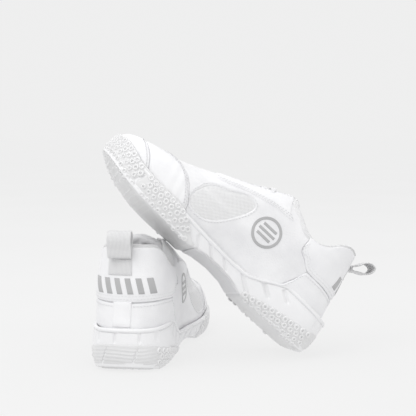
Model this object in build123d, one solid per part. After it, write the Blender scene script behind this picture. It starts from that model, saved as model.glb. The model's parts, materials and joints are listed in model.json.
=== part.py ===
"""A pair of cheer shoes. The right shoe stands, and the left shoe leans on it with its heel on the floor.

One right shoe is modelled in its own frame: +X towards its outer side, +Y towards the toe, +Z up, with
its origin on the ground under the back of the heel. The left shoe is its mirror image, placed at a tilt.
The pair's origin is on the ground under the middle of the right shoe's heel tread.
"""
from build123d import *
import os
from math import atan2, ceil, cos, degrees, hypot, radians, sin, tan

# ---- driving dimensions, in millimetres ----
SOLE_LENGTH = 268
HEEL_WIDTH = 74
TOE_SPRING = 16.5          # rise of the sole at the toe tip
SPRING_START = 196         # where the sole starts to rise
ARCH_RISE = 6
TREAD = 4.5                # outsole thickness underfoot
RAND = 3.2                 # outsole thickness where it wraps up the side
WALL = 2.6                 # upper: leather, backing and lining
BOARD = 1.8                # lasting board
FOOTBED = 3.6              # sockliner
COLLAR_FOAM = 6.5
OVERLAY = 1.0              # sewn-on reinforcement
WEBBING = 1.5              # pull tab tape
FLEX_Y = 188               # ball of the foot
FLEX_Z = 22                # just above the footbed, so the sole stretches and the vamp folds
FLEX_LIMIT = 25            # degrees, toe up
CREASE_HALF_ANGLE = 14     # degrees each side of the flex line
BODY_GAP = 0.4             # between pieces of different bodies
ROWS = 5                   # lace rows
HALF_SPAN = 70             # half the length of every cutting prism, across the shoe

TREAD_MIDDLE = 50          # from the back of the heel to the middle of the heel tread, the pair's origin

# ---- where the left shoe leans: heading from +Y towards -X, toe-up pitch, roll about its own length ----
LEAN_HEADING = 99.7
LEAN_PITCH = 43.7
LEAN_ROLL = 12.6
LEAN_ORIGIN = (147.9, 93.5, -2.05)

# ---- heel pull tab ----
TAB_X = -6
TAB_WIDTH = 21
TAB_HINGE = (15.0, 100)    # y, z of its fold line, just behind the collar
TAB_LENGTH = 24
TAB_THICK = 11
LEFT_TAB_FOLD = 48         # degrees back from upright, as it lies on the left shoe

BADGE_AT, BADGE_RADIUS = (106, 59.5), 15   # y, z of the middle of the side badge

# ---- the upper's cross-sections, from the feather line to above the collar ----
# height, heel y, toe y, half-widths at the heel, waist (outer, inner) and ball (outer, inner), and the toe's x
SECTIONS = [
    (12, 6, 258, 31, 31, 29, 43, 40, -4),
    (24, 5.5, 262, 33, 34, 30, 46, 42, -5),
    (34, 6.5, 265, 33.5, 35, 31.5, 45, 41.5, -5),
    (42, 8.5, 261.5, 33, 36, 33, 42, 39, -5),
    (47, 10, 252, 33, 36.5, 33, 40, 37, -5),
    (51.5, 11, 236, 32.5, 37, 33, 37, 35, -4),
    (57, 12, 213, 32.5, 37, 32.5, 36, 33, -3),
    (66, 13, 191, 32, 36.5, 31.5, 36, 31, -1),
    (75, 15, 172, 31, 35, 30, 36, 29, 0),
    (84, 17.5, 152, 29.5, 33, 28, 33, 26, 0),
    (92, 19, 137, 28, 31, 26, 29, 23, 0),
    (100, 20.5, 125, 27, 28, 24, 24, 20, 0),
    (108, 21.5, 113, 26, 25, 22, 19, 17, 0),
    (120, 22.5, 98, 25, 22, 20, 15, 14, 0),
]

# ---- side-view lines, as (y, z) points from heel to toe ----
GROUND_LINE = [(-8, 5), (12, 0), (86, 0), (100, 4.5), (118, ARCH_RISE), (136, 4.5), (152, 0), (SPRING_START, 0),
               (215, 1.2), (235, 4.6), (255, 10.5), (SOLE_LENGTH + 6, TOE_SPRING + 1.5)]
FOOTBED_LINE = [(-8, 26), (60, 26), (100, 22), (150, 16.5), (FLEX_Y, 15), (215, 16), (235, 19), (255, 25),
                (SOLE_LENGTH + 6, 30)]
BEAD_LINE = [(-8, 38.5), (56, 38.5), (66, 34), (78, 26.5), (92, 20), (110, 18.5), (150, 18.5), (165, 19),
             (FLEX_Y, 20.5), (215, 22), (240, 27), (SOLE_LENGTH + 6, 34)]
HEEL_WRAP_LINE = [(-8, 24.5), (8, 24.5), (28, 20.5), (52, 14), (72, 7), (88, TREAD)]
TOE_WRAP_LINE = [(146, TREAD), (160, 9), (168, 15), (177, 20.5), (FLEX_Y, 21), (215, 22.5), (235, 27), (248, 33),
                 (258, 37), (SOLE_LENGTH + 6, 38)]
TOPLINE = [(-8, 110), (20, 109), (34, 107.5), (43, 102), (51, 92), (60, 87), (70, 86), (78, 88), (88, 95),
           (97, 101), (104, 106), (111, 107.5), (118, 106), (126, 110), (150, 125)]


def band(lower, upper):
    """Prism right across the shoe, between two side-view lines."""
    outline = Polyline(*lower, *reversed(upper), close=True)
    face = make_face(Plane.YZ * outline)
    return extrude(face, HALF_SPAN, dir=(1, 0, 0), both=True)


def above(line, top=160):
    return band(line, [(line[0][0], top), (line[-1][0], top)])


def raised(line, by):
    return [(y, z + by) for y, z in line]


def side_prism(points, x_from=-HALF_SPAN, x_to=HALF_SPAN):
    face = make_face(Plane.YZ.offset(x_from) * Polyline(*points, close=True))
    return extrude(face, x_to - x_from, dir=(1, 0, 0))


def ring(points, z):
    """Closed horizontal outline through the given points."""
    return Wire([Spline(*[(x, y, z) for x, y in points], periodic=True).edge()])


def upper_ring(section, inset):
    z, heel, toe, hw, wo, wi, bo, bi, toe_x = section
    heel, toe = heel + inset, toe - inset
    hw, wo, wi, bo, bi = (w - inset for w in (hw, wo, wi, bo, bi))
    run = toe - heel
    points = [(0, heel), (hw * .72, heel + .035 * run + 4), (hw, heel + .13 * run + 6), (wo, heel + .42 * run),
              (bo, heel + .67 * run), (bo * .93, heel + .82 * run), (bo * .55 + toe_x * .5, heel + .955 * run),
              (toe_x, toe), (-bi * .6 + toe_x * .5, heel + .955 * run), (-bi * .97, heel + .84 * run),
              (-bi, heel + .7 * run), (-wi, heel + .44 * run), (-hw, heel + .13 * run + 6),
              (-hw * .72, heel + .035 * run + 4)]
    return ring(points, z)


def hull(inset=0.0):
    """The upper as a solid, moved in by inset: sideways all round, and down where its top slopes."""
    rings = []
    for i, section in enumerate(SECTIONS):
        low, high = SECTIONS[max(i - 1, 0)], SECTIONS[min(i + 1, len(SECTIONS) - 1)]
        rise, run = high[0] - low[0], low[2] - high[2]
        down = inset * max(run, 0) / hypot(rise, run)
        moved = (section[0] - down, section[1], section[2] + inset * (1 - rise / hypot(rise, run))) + section[3:]
        rings.append(upper_ring(moved, inset))
    return Solid.make_loft(rings)


def sole_ring(z, grow):
    heel, length = HEEL_WIDTH / 2, SOLE_LENGTH
    points = [(0, -grow), (heel * .6, 5 - grow), (heel - 2 + grow, 34), (heel - 2 + grow, 80),
              (heel + 1 + grow, 120), (48.5 + grow, 175), (45.5 + grow, 218), (27 + .7 * grow, length - 14 + .7 * grow),
              (-4, length + grow), (-31 - .7 * grow, length - 14 + .7 * grow), (-44 - grow, 222), (-44 - grow, 185),
              (-33 - grow, 130), (-31.5 - grow, 80), (-heel + 2.5 - grow, 34), (-heel * .6, 5 - grow)]
    return ring(points, z)


def sole_block(inset=0.0):
    return Solid.make_loft([sole_ring(z, grow - inset) for z, grow in
                            ((-1, -4), (5, -1.2), (14, .6), (26, .3), (42, -1.5))])


REAR = side_prism([(-20, -10), (FLEX_Y - BODY_GAP / 2, -10), (FLEX_Y - BODY_GAP / 2, FLEX_Z),
                   (FLEX_Y - 100 * tan(radians(CREASE_HALF_ANGLE)), FLEX_Z + 100), (-20, 160)])
FRONT = side_prism([(SOLE_LENGTH + 20, -10), (FLEX_Y + BODY_GAP / 2, -10), (FLEX_Y + BODY_GAP / 2, FLEX_Z),
                    (FLEX_Y + 60 * tan(radians(CREASE_HALF_ANGLE)), FLEX_Z + 60), (SOLE_LENGTH + 20, FLEX_Z + 60)])
CREASE = side_prism([(FLEX_Y, FLEX_Z + 1), (FLEX_Y + 60 * tan(radians(CREASE_HALF_ANGLE)) - 1.2, FLEX_Z + 60),
                     (FLEX_Y - 60 * tan(radians(CREASE_HALF_ANGLE)) + 1.2, FLEX_Z + 60)])


WHOLE_SIDE = [(-20, -10), (300, -10), (300, 160), (-20, 160)]
OUTER_HALF = side_prism(WHOLE_SIDE, x_from=.05)
INNER_HALF = side_prism(WHOLE_SIDE, x_to=-.05)


def largest(shape):
    """The biggest solid of a shape: slivers left by cutting curved faces are dropped."""
    return max(shape.solids(), key=lambda s: s.volume)


def sole_parts():
    block, core = sole_block(), sole_block(RAND)
    inside = core & above(raised(GROUND_LINE, TREAD))
    upper_space = hull() & above(FOOTBED_LINE)
    heel_rubber = (block & band(GROUND_LINE[:4], HEEL_WRAP_LINE)) - inside
    heel_rubber = heel_rubber & side_prism([(-20, -10), (88, -10), (88, 60), (-20, 60)])
    toe_ground = [(150, .5), (152, 0)] + GROUND_LINE[7:]
    toe_rubber = (block & band(toe_ground, TOE_WRAP_LINE)) - inside - upper_space
    arch = sole_block(2.5) & side_prism([(88.4, -10), (145.6, -10), (145.6, 20), (88.4, 20)])
    arch = arch & band(GROUND_LINE, raised(GROUND_LINE, 2.2))
    foam = (block & band(GROUND_LINE, BEAD_LINE)) - upper_space - heel_rubber - toe_rubber - arch
    return {
        "outsole_heel": largest(heel_rubber),
        "outsole_ball": largest(toe_rubber & REAR),
        "outsole_toe": largest(toe_rubber & FRONT),
        "arch_plate": largest(arch),
        "midsole_rear": largest(foam & REAR),
        "midsole_front": largest(foam & FRONT),
    }


def footbed_parts():
    room = hull(WALL + .1)
    board = room & band(FOOTBED_LINE, raised(FOOTBED_LINE, BOARD))
    liner = hull(WALL + .5) & band(raised(FOOTBED_LINE, BOARD + .05), raised(FOOTBED_LINE, BOARD + FOOTBED))
    return {
        "lasting_board_rear": largest(board & REAR),
        "lasting_board_front": largest(board & FRONT),
        "sockliner_rear": largest(liner & REAR),
        "sockliner_front": largest(liner & FRONT),
    }


# ---- seams of the upper, in side view ----
HEEL_SEAM_Z = 60
HEEL_SEAM = [(-20, HEEL_SEAM_Z), (34, HEEL_SEAM_Z), (52, HEEL_SEAM_Z - 1), (60, 65), (70, 71), (71, 130), (-20, 130)]
COUNTER_AREA = [(-20, 20), (66, 20), (60, 40), (52, HEEL_SEAM_Z - 1), (34, HEEL_SEAM_Z), (-20, HEEL_SEAM_Z)]
MESH_AREA = [(180, 33), (176, 55), (156, 63), (133, 72), (133, 56), (147, 36), (160, 27), (174, 27)]
TOE_CAP_SEAM = [(222, 20), (231, 34), (241, 45), (246, 70), (300, 70), (300, 0)]
THROAT_HALF = 11
THROAT_TOP_Y, THROAT_FOOT_Y = 96, 168


def throat():
    """The slot along the instep that the laces close, a little wider at the ankle."""
    outline = Polyline((-THROAT_HALF - 5, THROAT_TOP_Y - 15), (-THROAT_HALF - 3, 120), (-THROAT_HALF + 2, THROAT_FOOT_Y - 5),
                       (0, THROAT_FOOT_Y), (THROAT_HALF - 2, THROAT_FOOT_Y - 5), (THROAT_HALF + 3, 120),
                       (THROAT_HALF + 5, THROAT_TOP_Y - 15), close=True)
    return extrude(make_face(Plane.XY.offset(68) * outline), 80)


def upper_parts():
    shell = (hull() - hull(WALL)) & above(FOOTBED_LINE)
    lowered = band([(-8, -5), (150, -5)], TOPLINE)
    rear = shell & REAR & (lowered + side_prism([(126, -5), (220, -5), (220, 140), (126, 140)]))
    slotted = rear - throat()
    heel_top, counter = side_prism(HEEL_SEAM), side_prism(COUNTER_AREA)
    mesh, toe_cap = side_prism(MESH_AREA), side_prism(TOE_CAP_SEAM)
    sides = slotted - heel_top - counter
    front = shell & FRONT
    parts = {
        "heel_panel": largest(rear & heel_top),
        "heel_counter": largest(rear & counter),
        "toe_cap": largest(front & toe_cap),
        "vamp": largest(front - toe_cap),
        "vamp_crease": largest(shell & CREASE),
    }
    for name, half in (("outer", OUTER_HALF), ("inner", INNER_HALF)):
        parts[f"{name}_quarter"] = largest((sides - mesh) & half)
        parts[f"{name}_mesh"] = largest(slotted & mesh & half)
    return parts


def fittings():
    """Pieces sewn onto or into the upper."""
    skin = hull(-OVERLAY) - hull(-.05)
    lowered = band([(-8, -5), (150, -5)], TOPLINE) + side_prism([(126, -5), (220, -5), (220, 140), (126, 140)])
    edge = extrude(make_face(Plane.XY.offset(68) * Polyline(
        (-31, 90), (-30, 115), (-20, 150), (-12, 174), (12, 174), (20, 150), (30, 115), (31, 90), close=True)), 80)
    stay_area = side_prism([(98, 60), (98, 140), (180, 140), (180, 60), (160, 68), (125, 84), (108, 90)])
    stays = (skin & edge & stay_area & lowered) - throat()
    behind_throat = side_prism([(-8, 50), (88, 50), (88, 120), (-8, 120)])
    collar_band = band(raised(TOPLINE, -24)[:10], TOPLINE[:10]) & behind_throat
    foam = (hull(WALL + .1) & collar_band) - hull(WALL + COLLAR_FOAM)
    slab = extrude(make_face(Plane.XY * Polyline(
        (-21, 92), (-19, 130), (-15, 172), (15, 172), (19, 130), (21, 92), close=True)), 160)
    below_tongue_top = Pos(0, 0, 58) * Box(120, 400, 116)
    tongue_area = slab & above([(90, 92), (112, 82), (140, 66), (172, 55), (176, 50)]) & below_tongue_top
    tongue = (hull(WALL + .5) & tongue_area) - hull(WALL + 6.5)
    badge_area = Plane.YZ * Pos(*BADGE_AT) * extrude(Circle(BADGE_RADIUS), HALF_SPAN)
    badge = (hull(-.8) & badge_area) - hull(-.05)
    return {
        "outer_eyestay": largest(stays & OUTER_HALF),
        "inner_eyestay": largest(stays & INNER_HALF),
        "collar_padding": largest(foam),
        "tongue": largest(tongue),
        "side_badge": largest(badge),
    }


def laces():
    """Flat lace rows across the throat, level with its edges."""
    skin = hull(-.6) - hull(WALL * .6)
    rows = []
    for i in range(ROWS):
        y = THROAT_FOOT_Y - 10 - i * 8.2
        row = Pos(0, y, 90) * Box(60, 5.2, 90)
        bar = skin & row & throat()
        rows.append(largest(bar))
    return Compound(rows)


def pull_tab():
    """Teardrop loop of webbing, upright on its fold line, and its sewn foot below it."""
    y, z = TAB_HINGE
    half = TAB_THICK / 2
    outer = Spline((0, 1), (-half, TAB_LENGTH * .62), (0, TAB_LENGTH), (half, TAB_LENGTH * .62), (0, 1))
    loop = make_face(outer)
    hole = make_face(Spline((0, 6), (-half + WEBBING, TAB_LENGTH * .62), (0, TAB_LENGTH - WEBBING),
                            (half - WEBBING, TAB_LENGTH * .62), (0, 6)))
    flat = loop - hole
    frame = Plane(origin=(TAB_X - TAB_WIDTH / 2, y, z), x_dir=(0, 1, 0), z_dir=(1, 0, 0))
    return extrude(frame * flat, TAB_WIDTH)


def tab_foot():
    skin = hull(-2 * WEBBING) - hull(-.05)
    y, z = TAB_HINGE
    return largest(skin & (Pos(TAB_X, y, z - 9.5) * Box(TAB_WIDTH, 20, 15)))


def shoe():
    parts = sole_parts() | footbed_parts() | upper_parts() | fittings()
    parts["laces"] = laces()
    parts["pull_tab"] = pull_tab()
    parts["pull_tab_foot"] = tab_foot()
    return parts


TO_PAIR = Pos(0, -TREAD_MIDDLE, 0)


def place_left(shape, fold=0):
    if fold:
        y, z = TAB_HINGE
        shape = Pos(0, y, z) * Rot(fold, 0, 0) * Pos(0, -y, -z) * shape
    mirrored = mirror(shape, Plane.YZ)
    lean = TO_PAIR * Pos(*LEAN_ORIGIN) * Rot(0, 0, LEAN_HEADING) * Rot(LEAN_PITCH, 0, 0) * Rot(0, LEAN_ROLL, 0)
    return lean * mirrored


os.makedirs("parts", exist_ok=True)
for name, shape in shoe().items():
    export_step(TO_PAIR * shape, f"parts/right_{name}.step")
    export_step(place_left(shape, LEFT_TAB_FOLD if name == "pull_tab" else 0), f"parts/left_{name}.step")
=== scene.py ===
"""The looks of a pair of cheer shoes: leather uppers, foam midsoles, ring-lugged rubber, laces and loops.

One right shoe is worked out in its own frame in millimetres (+X outer side, +Y toe, +Z up, origin on the
ground under the back of the heel). Each piece is then added twice: once as it is, and once mirrored and
tilted for the left shoe. The tilt comes from the frame's joints.
"""

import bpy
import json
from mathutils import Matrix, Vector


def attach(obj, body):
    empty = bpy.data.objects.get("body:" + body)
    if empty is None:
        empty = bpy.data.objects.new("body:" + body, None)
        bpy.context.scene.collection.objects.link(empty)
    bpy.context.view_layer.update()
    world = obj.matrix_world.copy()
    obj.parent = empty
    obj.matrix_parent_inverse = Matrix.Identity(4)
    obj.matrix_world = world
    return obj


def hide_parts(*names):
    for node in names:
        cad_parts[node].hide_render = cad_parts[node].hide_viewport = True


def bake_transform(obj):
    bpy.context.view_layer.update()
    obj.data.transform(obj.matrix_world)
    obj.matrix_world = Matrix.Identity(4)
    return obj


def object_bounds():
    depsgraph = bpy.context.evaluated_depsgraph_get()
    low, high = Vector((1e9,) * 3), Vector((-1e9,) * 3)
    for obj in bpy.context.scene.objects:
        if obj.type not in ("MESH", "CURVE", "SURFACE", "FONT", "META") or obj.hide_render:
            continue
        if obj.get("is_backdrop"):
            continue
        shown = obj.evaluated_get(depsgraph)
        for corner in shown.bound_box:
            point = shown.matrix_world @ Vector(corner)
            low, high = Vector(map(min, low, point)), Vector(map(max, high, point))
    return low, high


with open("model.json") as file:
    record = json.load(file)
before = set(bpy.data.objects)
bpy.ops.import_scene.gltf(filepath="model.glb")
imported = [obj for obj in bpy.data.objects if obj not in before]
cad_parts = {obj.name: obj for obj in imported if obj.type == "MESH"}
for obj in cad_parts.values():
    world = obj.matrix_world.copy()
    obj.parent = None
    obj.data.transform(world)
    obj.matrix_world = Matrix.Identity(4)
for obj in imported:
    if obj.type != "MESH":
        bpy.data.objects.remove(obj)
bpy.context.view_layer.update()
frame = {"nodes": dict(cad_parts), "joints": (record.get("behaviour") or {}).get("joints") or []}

import json
import math

import bpy
import numpy as np
from mathutils import Vector

MM = 0.001
LINE_POINTS = 200  # on a seam line, once its points are evenly spaced

# ---- the shoe's lines, in millimetres: the same shape as the frame's nodes ----
# height, heel y, toe y, half-widths at heel, waist (outer, inner) and ball (outer, inner), and the toe's x
SECTIONS = np.array([
    (12, 6, 258, 31, 31, 29, 43, 40, -4), (24, 5.5, 262, 33, 34, 30, 46, 42, -5),
    (34, 6.5, 265, 33.5, 35, 31.5, 45, 41.5, -5), (42, 8.5, 261.5, 33, 36, 33, 42, 39, -5),
    (47, 10, 252, 33, 36.5, 33, 40, 37, -5), (51.5, 11, 236, 32.5, 37, 33, 37, 35, -4),
    (57, 12, 213, 32.5, 37, 32.5, 36, 33, -3), (66, 13, 191, 32, 36.5, 31.5, 36, 31, -1),
    (75, 15, 172, 31, 35, 30, 36, 29, 0), (84, 17.5, 152, 29.5, 33, 28, 33, 26, 0),
    (92, 19, 137, 28, 31, 26, 29, 23, 0), (100, 20.5, 125, 27, 28, 24, 24, 20, 0),
    (108, 21.5, 113, 26, 25, 22, 19, 17, 0), (120, 22.5, 98, 25, 22, 20, 15, 14, 0)], float)
GROUND = [(-8, 5), (12, 0), (86, 0), (100, 4.5), (118, 6), (136, 4.5), (152, 0), (196, 0), (215, 1.2),
          (235, 4.6), (255, 10.5), (274, 18)]
BEAD = [(-8, 38.5), (56, 38.5), (66, 34), (78, 26.5), (92, 20), (110, 18.5), (150, 18.5), (165, 19),
        (188, 20.5), (215, 22), (240, 27), (274, 34)]
HEEL_WRAP = [(-8, 25), (3, 24.5), (12, 21), (28, 17.5), (52, 13.5), (72, 8.5), (88, 5)]
TOE_WRAP = [(146, 2), (153, 5), (160, 10), (168, 16.5), (177, 21), (188, 21.8), (215, 23), (235, 27),
            (248, 33), (258, 37), (274, 38)]
TOPLINE = [(-8, 110), (20, 109), (34, 107.5), (43, 102), (51, 92), (60, 87), (70, 86), (78, 88), (88, 95),
           (97, 101), (104, 106), (111, 107.5), (118, 106)]
SOLE_LENGTH, HEEL_HALF = 268, 37
FLEX_Y, FLEX_Z = 188, 22
TAB_Y, TAB_Z, TAB_X, TAB_WIDTH = 15.0, 100, -6, 22
LEFT_TAB_FOLD = math.radians(48)
THROAT_FOOT_Y = 168


# ---- curves ----
def height(line, y, soft=3.0):
    """A side-view line's height at y, its corners rounded over about soft on each side."""
    ys, zs = np.array(line, float).T
    y = np.asarray(y, float)
    return sum(np.interp(y + k * soft, ys, zs) for k in (-1, -.5, 0, .5, 1)) / 5


def closed_spline(points, per_span):
    """Smooth closed curve through points: a periodic cubic, its knots spaced by chord length."""
    p = np.asarray(points, float)
    n = len(p)
    h = np.linalg.norm(np.roll(p, -1, 0) - p, axis=1)
    a = np.zeros((n, n))
    b = np.zeros_like(p)
    for i in range(n):
        before, after = h[i - 1], h[i]
        a[i, i - 1] += after
        a[i, i] += 2 * (before + after)
        a[i, (i + 1) % n] += before
        b[i] = 3 * (after * (p[i] - p[i - 1]) / before + before * (p[(i + 1) % n] - p[i]) / after)
    slope = np.linalg.solve(a, b)
    t = np.arange(per_span) / per_span
    out = []
    for i in range(n):
        q, s, e = p[(i + 1) % n], slope[i] * h[i], slope[(i + 1) % n] * h[i]
        out.append(np.outer(2 * t**3 - 3 * t**2 + 1, p[i]) + np.outer(t**3 - 2 * t**2 + t, s)
                   + np.outer(3 * t**2 - 2 * t**3, q) + np.outer(t**3 - t**2, e))
    return np.concatenate(out)


def smooth_rows(table, v):
    """Rows of a table at fractional indices, by Catmull-Rom."""
    n = len(table)
    i = np.clip(np.floor(v).astype(int), 0, n - 2)
    f = (v - i)[:, None]
    p0, p1, p2, p3 = (table[np.clip(i + k, 0, n - 1)] for k in (-1, 0, 1, 2))
    p0 = np.where((i == 0)[:, None], 2 * p1 - p2, p0)
    p3 = np.where((i == n - 2)[:, None], 2 * p2 - p1, p3)
    return .5 * (2 * p1 + (p2 - p0) * f + (2 * p0 - 5 * p1 + 4 * p2 - p3) * f**2
                 + (3 * p1 - p0 - 3 * p2 + p3) * f**3)


def open_curve(points, n):
    """n points, evenly spaced, on a smooth curve through the given points."""
    p = np.asarray(points, float)
    fine = smooth_rows(p, np.linspace(0, len(p) - 1, 40 * len(p)))
    run = np.r_[0, np.cumsum(np.linalg.norm(np.diff(fine, axis=0), axis=1))]
    return np.stack([np.interp(np.linspace(0, run[-1], n), run, c) for c in fine.T], 1)


# ---- the upper's surface, by u round the shoe (0 heel, +-7 toe, + outer) and v up it (0 to 13) ----
PER_SPAN, PER_LEVEL = 24, 12
SPANS, LEVELS = 14, len(SECTIONS) - 1


def section_points(s):
    z, heel, toe, hw, wo, wi, bo, bi, tx = s
    run = toe - heel
    xy = [(0, heel), (hw * .72, heel + .035 * run + 4), (hw, heel + .13 * run + 6), (wo, heel + .42 * run),
          (bo, heel + .67 * run), (bo * .93, heel + .82 * run), (bo * .55 + tx * .5, heel + .955 * run),
          (tx, toe),
          (-bi * .6 + tx * .5, heel + .955 * run), (-bi * .97, heel + .84 * run), (-bi, heel + .7 * run),
          (-wi, heel + .44 * run), (-hw, heel + .13 * run + 6), (-hw * .72, heel + .035 * run + 4)]
    return [(x, y, z) for x, y in xy]


ROWS_V = np.arange(LEVELS * PER_LEVEL + 1) / PER_LEVEL
SKIN = np.array([closed_spline(section_points(s), PER_SPAN) for s in smooth_rows(SECTIONS, ROWS_V)])


def skin_normals():
    du = np.roll(SKIN, -1, 1) - np.roll(SKIN, 1, 1)
    n = np.cross(du, np.gradient(SKIN, axis=0))
    n /= np.linalg.norm(n, axis=2, keepdims=True)
    for _ in range(3):
        n = (np.roll(n, 1, 1) + np.roll(n, -1, 1) + 2 * n) / 4
    return n / np.linalg.norm(n, axis=2, keepdims=True)


NORMALS = skin_normals()
ROW_Z = SKIN[:, 0, 2]


def sample(grid, u, v):
    c = np.mod(np.asarray(u, float), SPANS) * PER_SPAN
    r = np.clip(np.asarray(v, float), 0, LEVELS) * PER_LEVEL
    r0 = np.minimum(np.floor(r).astype(int), len(grid) - 2)
    c0 = np.floor(c).astype(int)
    fr, fc = (r - r0)[..., None], (c - c0)[..., None]
    n = grid.shape[1]
    a, b = grid[r0, c0 % n] * (1 - fc) + grid[r0, (c0 + 1) % n] * fc, \
        grid[r0 + 1, c0 % n] * (1 - fc) + grid[r0 + 1, (c0 + 1) % n] * fc
    return a * (1 - fr) + b * fr


def skin(u, v, off=0.0):
    """Points on the upper, moved out by off."""
    return sample(SKIN, u, v) + sample(NORMALS, u, v) * np.asarray(off, float)[..., None]


def v_at(z):
    return np.interp(z, ROW_Z, ROWS_V)


HALF_U = np.linspace(0, 7, 7 * PER_SPAN + 1)


def u_at(side, y, v, what=1):
    """Signed u on one side where the surface's y (or x, with what=0) is as given, at each v."""
    out = []
    for yy, vv in zip(np.atleast_1d(y), np.atleast_1d(v)):
        row = sample(SKIN, side * HALF_U, np.full_like(HALF_U, vv))[:, what]
        if what == 1:
            out.append(np.interp(yy, row, HALF_U))
        else:
            tail = HALF_U > 4.2
            out.append(np.interp(-yy, -side * row[tail], HALF_U[tail]))
    return side * np.array(out)


def seam(side, points, n=80, curve=True):
    """A side-view line, as (y, z) points, laid on one side of the upper: (u, v) rows."""
    yz = open_curve(points, n) if curve else open_line(points, n)
    v = v_at(yz[:, 1])
    return np.stack([u_at(side, yz[:, 0], v), v], 1)


def open_line(points, n):
    p = np.asarray(points, float)
    run = np.r_[0, np.cumsum(np.linalg.norm(np.diff(p, axis=0), axis=1))]
    return np.stack([np.interp(np.linspace(0, run[-1], n), run, c) for c in p.T], 1)


def throat_half(y):
    """Half-width of the slot that the laces close."""
    return np.interp(y, [104, 120, 160, 166, THROAT_FOOT_Y], [15.5, 14, 9.5, 6, 0])


def throat_edge(side, n, y_from=104.0, y_to=THROAT_FOOT_Y, extra=0.0):
    """The slot's edge, or a line beside it by extra, from the ankle to the foot of the slot: (u, v) rows."""
    out = []
    for y in np.linspace(y_from, y_to, n):
        half = throat_half(y) + extra
        v = np.linspace(5, 13, 161)
        u = u_at(side, np.full_like(v, half), v, what=0)
        there = sample(SKIN, u, v)[:, 1]
        k = np.argmin(np.abs(there - y))
        out.append((u[k], v[k]))
    out = np.array(out)
    for _ in range(4):
        out[1:-1] = (out[:-2] + 2 * out[1:-1] + out[2:]) / 4
    return out


# ---- meshes ----
class Patch:
    """Vertices and faces in the right shoe's frame, in millimetres, with a UV per vertex in millimetres."""

    def __init__(self):
        self.verts, self.faces, self.uv = [], [], []

    def grid(self, p, uv=None, wrap=False, flip=False):
        rows, cols = p.shape[:2]
        base = len(self.verts)
        self.verts += [tuple(q) for q in p.reshape(-1, 3)]
        if uv is None:
            down = np.r_[np.zeros((1, cols)), np.cumsum(np.linalg.norm(np.diff(p, axis=0), axis=2), 0)]
            across = np.c_[np.zeros((rows, 1)), np.cumsum(np.linalg.norm(np.diff(p, axis=1), axis=2), 1)]
            uv = np.stack([across, down], 2)
        self.uv += [tuple(q) for q in uv.reshape(-1, 2)]
        for i in range(rows - 1):
            for j in range(cols - (0 if wrap else 1)):
                k = (j + 1) % cols
                f = (base + i * cols + j, base + i * cols + k,
                     base + (i + 1) * cols + k, base + (i + 1) * cols + j)
                self.faces.append(f[::-1] if flip else f)
        return self


def edge_steps(length, count, edge):
    """Positions 0 to 1 along a run of length mm, with close steps in the last edge mm at both ends."""
    near = np.array([0, .12, .35, .65, 1.0]) * edge
    near = near * min(1, .45 * length / edge)
    mid = np.linspace(near[-1], length - near[-1], count)[1:-1]
    return np.r_[near, mid, length - near[::-1]] / length


def panel(low, high, across=24, along=90, thick=1.1, edge=1.3, puff=0.0, base=-.25, relief=None):
    """A sewn-on panel between two (u, v) lines, with rounded edges: a grid of points and a grid of depths."""
    low, high = even(low), even(high)
    a, b = skin(low[:, 0], low[:, 1]), skin(high[:, 0], high[:, 1])
    width = np.linalg.norm(a - b, axis=1)
    length = np.linalg.norm(np.diff((a + b) / 2, axis=0), axis=1).sum()
    t = edge_steps(length, along, edge)
    pick = lambda line: np.stack([np.interp(t, np.linspace(0, 1, len(line)), c) for c in line.T], 1)
    lo, hi, w = pick(low), pick(high), np.interp(t, np.linspace(0, 1, len(width)), width)
    s = np.array([edge_steps(max(x, .5), across, edge) for x in w]).T
    uv = lo[None] * (1 - s[..., None]) + hi[None] * s[..., None]
    inset = np.minimum(np.minimum(s, 1 - s) * w[None], (np.minimum(t, 1 - t) * length)[None])
    rise = np.sqrt(1 - (1 - np.clip(inset / edge, 0, 1)) ** 2)
    off = base + (thick - base) * rise + puff * np.clip(inset / 14, 0, 1) * (2 - np.clip(inset / 14, 0, 1))
    p = skin(uv[..., 0], uv[..., 1], off)
    if relief is not None:
        n = sample(NORMALS, uv[..., 0], uv[..., 1])
        p = p + n * (relief(p) * rise)[..., None]
    return p


def resample(p, n, step):
    run = np.r_[0, np.cumsum(np.linalg.norm(np.diff(p, axis=0), axis=1))]
    t = np.arange(step / 2, run[-1] - step / 2, step)
    pos = np.stack([np.interp(t, run, c) for c in p.T], 1)
    nor = np.stack([np.interp(t, run, c) for c in n.T], 1)
    ahead = (np.stack([np.interp(t + .4, run, c) for c in p.T], 1)
             - np.stack([np.interp(t - .4, run, c) for c in p.T], 1))
    return (pos, nor / np.linalg.norm(nor, axis=1, keepdims=True),
            ahead / np.linalg.norm(ahead, axis=1, keepdims=True))


def stitches(patch, line, step=3.1, length=2.3, radius=.42):
    """Thread along a line: one small capsule for each stitch, sunk at its ends."""
    for c, n, d in zip(*resample(*line, step)):
        side = np.cross(n, d)
        rings = []
        for x, r in ((-1, .15), (-.72, .8), (0, 1), (.72, .8), (1, .15)):
            lift = -.35 * radius if abs(x) == 1 else .25 * radius
            mid = c + d * x * length / 2 + n * lift
            rings.append([mid + radius * r * (side * math.cos(a) + n * math.sin(a))
                          for a in np.arange(6) * math.pi / 3])
        patch.grid(np.array(rings), wrap=True)


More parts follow.
